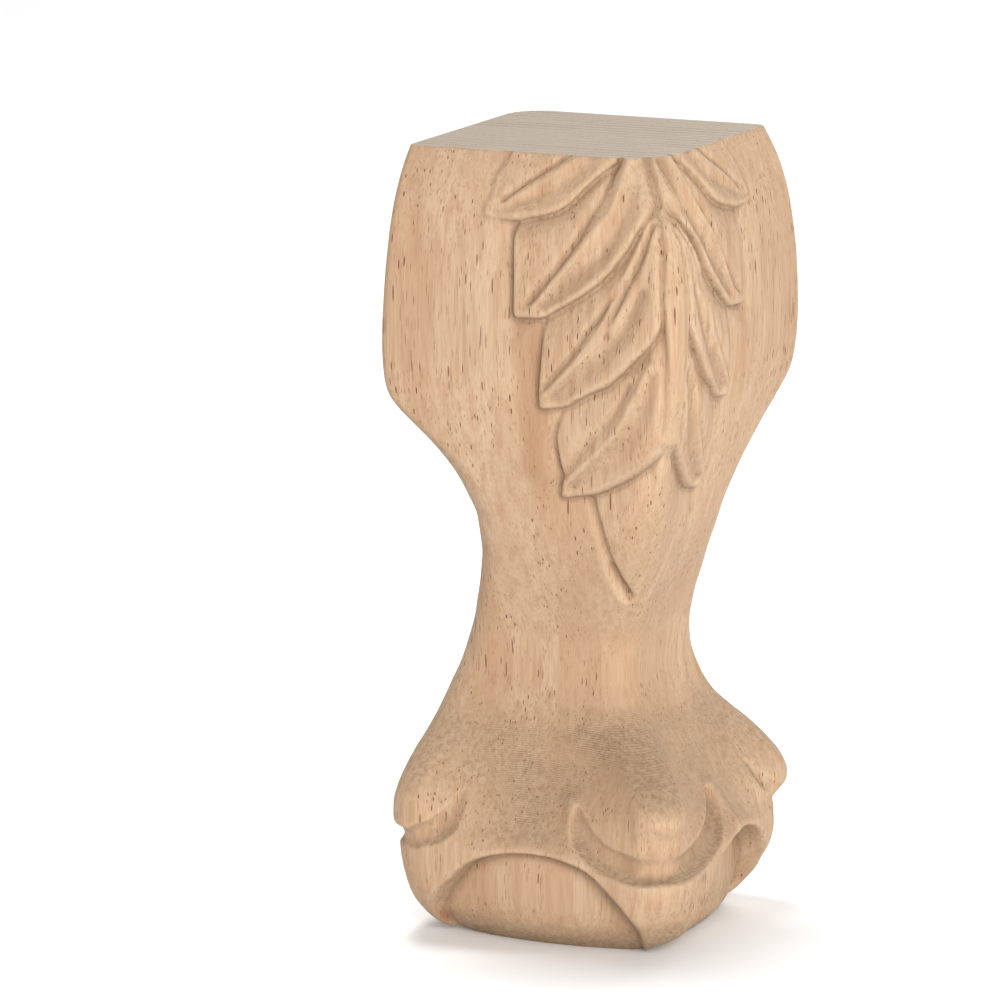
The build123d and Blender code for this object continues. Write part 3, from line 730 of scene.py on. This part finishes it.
# one browner streak down the -Y flank beside the leaf, a reddish stain at a claw
drift = math_node("MULTIPLY_ADD", noise(scaled(14, 14, 22, (6, 3, 2)), 1.0, 0.5), 0.004, -0.0022)
off = math_node("ABSOLUTE", math_node("ADD", spot.outputs[0], drift))
streak = math_node("MULTIPLY", step_map(off, 0.0034, 0.0006), step_map(spot.outputs[1], -0.014, -0.02))
streak = math_node("MULTIPLY", streak, math_node("MULTIPLY", step_map(spot.outputs[2], 0.078, 0.092), step_map(spot.outputs[2], 0.126, 0.116)))
colour = mix(math_node("MULTIPLY", streak, 0.48), colour, srgb(176, 128, 92))
stain = nodes.new("ShaderNodeVectorMath")
stain.operation = "DISTANCE"
links.new(place, stain.inputs[0])
stain.inputs[1].default_value = (-0.0208, -0.0222, 0.0038)
colour = mix(step_map(stain.outputs["Value"], 0.0036, 0.001, 0.0, 0.7), colour, srgb(158, 92, 54))
# end grain is greyer and a little darker
grey = mix(step_map(noise(scaled(0.8, 0.8, 2.5, (2, 9, 4)), 3.0, 0.6), 0.35, 0.7), srgb(195, 166, 135), srgb(166, 136, 106))
colour = mix(math_node("MULTIPLY", end_grain, 0.9), colour, grey)
colour = mix(math_node("MULTIPLY", flat_top, 0.85), colour, mix(math_node("MULTIPLY", step_map(saw_lines, 0.55, 0.95), step_map(noise(scaled(38, 7, 9, (3, 3, 3)), 2.0, 0.6), 0.34, 0.66, 0.2, 1.0)), srgb(176, 164, 149), srgb(150, 137, 122)))

# pores: long thin vessels along the grain
def vessels(width, length, size, spread, offset):
    d, random = cells(scaled(width, width, length, offset))
    pick = nodes.new("ShaderNodeSeparateColor")
    links.new(random, pick.inputs[0])
    limit_r = math_node("MULTIPLY", step_map(pick.outputs[0], 0.1, 0.8), size)
    crowd = step_map(noise(scaled(*spread), 2.0, 0.5), 0.3, 0.56)
    limit_r = math_node("MULTIPLY", limit_r, crowd)
    return math_node("SUBTRACT", 1.0, step_map(math_node("SUBTRACT", d, limit_r), -0.05, 0.02), clamp=True), pick.outputs[1]


coarse, coarse_tone = vessels(0.52, 7.0, 0.3, (7, 7, 24, (4, 4, 4)), (0.3, 0.7, 0.1))
fine, fine_tone = vessels(0.34, 5.0, 0.3, (5, 5, 30, (1, 2, 3)), (7.3, 2.7, 5.1))
quiet = math_node("MULTIPLY_ADD", end_grain, -0.35, 1.0)
fine_tint = math_node("MULTIPLY", fine, step_map(fine_tone, 0.0, 1.0, 0.2, 0.75))
coarse_tint = math_node("MULTIPLY", coarse, step_map(coarse_tone, 0.15, 1.0, 0.28, 1.0))
colour = mix(math_node("MULTIPLY", fine_tint, quiet), colour, srgb(166, 114, 80))
colour = mix(math_node("MULTIPLY", coarse_tint, quiet), colour, srgb(124, 76, 48))
# painted shade: small hollows and wide recesses such as the arches are made darker and browner where shade falls;
# painted highlight: ridges are made a little paler
cavity = nodes.new("ShaderNodeAttribute")
cavity.attribute_name = "hollow"
recess_depth = nodes.new("ShaderNodeAttribute")
recess_depth.attribute_name = "recess"
not_flat = math_node("SUBTRACT", 1.0, flat_top, clamp=True)
# colour of the painted shade
painted_shade_colour = mix(0.5, colour, srgb(120, 84, 56), "MULTIPLY")
colour = mix(math_node("MULTIPLY", step_map(recess_depth.outputs["Fac"], 0.25, 1.3, 0.0, 0.6), not_flat), colour, painted_shade_colour)
colour = mix(math_node("MULTIPLY", step_map(cavity.outputs["Fac"], 0.03, 0.24, 0.0, 0.45), not_flat), colour, painted_shade_colour)
# painted highlight on ridges
colour = mix(math_node("MULTIPLY", step_map(cavity.outputs["Fac"], -0.06, -0.24, 0.0, 0.22), not_flat), colour, srgb(226, 198, 166))
links.new(colour, bsdf.inputs["Base Color"])

links.new(step_map(fibres, 0.3, 0.7, 0.6, 0.74), bsdf.inputs["Roughness"])
bsdf.inputs["Specular IOR Level"].default_value = 0.28

# bump: open pores, fibres, fine cutter lines on sloping wood, saw lines on the top
height = math_node("MULTIPLY", coarse, -0.8)
height = math_node("MULTIPLY_ADD", fine, -0.4, height)
height = math_node("MULTIPLY_ADD", fibres, 0.22, height)
cutter = node("ShaderNodeTexWave", wave_type="BANDS", bands_direction="Z", Scale=0.86, Distortion=1.4, Detail=1.0)
cutter.inputs["Detail Scale"].default_value = 0.4
links.new(scaled(1.0, 1.0, 1.0), cutter.inputs["Vector"])
cutter_where = math_node("MULTIPLY", step_map(end_grain, 0.2, 0.7), step_map(noise(scaled(12, 12, 12, (8, 1, 6)), 1.0, 0.5), 0.42, 0.62))
height = math_node("MULTIPLY_ADD", math_node("MULTIPLY", cutter.outputs["Fac"], cutter_where), 0.5, height)
height = math_node("MULTIPLY_ADD", math_node("MULTIPLY", saw_lines, flat_top), 0.7, height)
bump = nodes.new("ShaderNodeBump")
bump.inputs["Strength"].default_value = 0.55
bump.inputs["Distance"].default_value = 0.00022
links.new(height, bump.inputs["Height"])
links.new(bump.outputs[0], bsdf.inputs["Normal"])
done.materials.append(wood)

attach(leg, "root")
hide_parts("leg")

# ------------------------------------------------------------------------- stage
pale = bpy.data.materials.new("pale_floor")
pale.use_nodes = True
pale.node_tree.nodes["Principled BSDF"].inputs["Base Color"].default_value = (0.92, 0.92, 0.92, 1)
pale.node_tree.nodes["Principled BSDF"].inputs["Roughness"].default_value = 0.9
pale.node_tree.nodes["Principled BSDF"].inputs["Specular IOR Level"].default_value = 0.1
pale.node_tree.nodes["Principled BSDF"].inputs["Emission Color"].default_value = (1, 1, 1, 1)
pale.node_tree.nodes["Principled BSDF"].inputs["Emission Strength"].default_value = 0.02
floor_mesh = bpy.data.meshes.new("floor")
floor_mesh.from_pydata([(-6, -6, 0), (6, -6, 0), (6, 6, 0), (-6, 6, 0)], [], [(0, 1, 2, 3)])
floor_mesh.materials.append(pale)
floor = bpy.data.objects.new("floor", floor_mesh)
floor.location.z = -0.00005
bpy.context.scene.collection.objects.link(floor)

world = bpy.data.worlds.new("studio")
bpy.context.scene.world = world
world.use_nodes = True
world.node_tree.nodes["Background"].inputs["Color"].default_value = (1.0, 1.0, 1.0, 1)
world.node_tree.nodes["Background"].inputs["Strength"].default_value = 0.37
bpy.context.scene.view_settings.view_transform = "Standard"


def softbox(name, place, aim, size, power, colour=(1, 1, 1)):
    data = bpy.data.lights.new(name, "AREA")
    data.shape = "SQUARE"
    data.size = size
    data.energy = power
    data.color = colour
    lamp = bpy.data.objects.new(name, data)
    lamp.location = place
    lamp.rotation_euler = (Vector(aim) - Vector(place)).to_track_quat("-Z", "Y").to_euler()
    bpy.context.scene.collection.objects.link(lamp)


softbox("key", (0.70, -0.88, 0.50), (0, 0, 0.07), 0.5, 12.0, (1.0, 0.99, 0.975))
softbox("side", (1.25, 0.1, 0.24), (0, 0, 0.07), 0.3, 1.9, (0.8, 0.95, 1.0))
softbox("above", (-0.2, 0.1, 1.2), (0, 0, 0.05), 0.34, 8.6)
softbox("behind", (0.0, 2.2, 1.6), (0.0, 1.7, 0), 2.2, 37.0)

# ------------------------------------------------------------------------ camera
AZ, EL, FAR = math.radians(24.0), math.radians(12.0), 1.2
back = Vector((math.sin(AZ) * math.cos(EL), -math.cos(AZ) * math.cos(EL), math.sin(EL)))
data = bpy.data.cameras.new("camera")
data.sensor_width = 36.0
data.lens = 229.8
data.shift_x = -0.0923
data.shift_y = 0.031
data.clip_start, data.clip_end = 0.05, 30.0
camera = bpy.data.objects.new("camera", data)
camera.location = Vector((0, 0, 0.075)) + back * FAR
camera.rotation_euler = (-back).to_track_quat("-Z", "Y").to_euler()
bpy.context.scene.collection.objects.link(camera)
bpy.context.scene.camera = camera
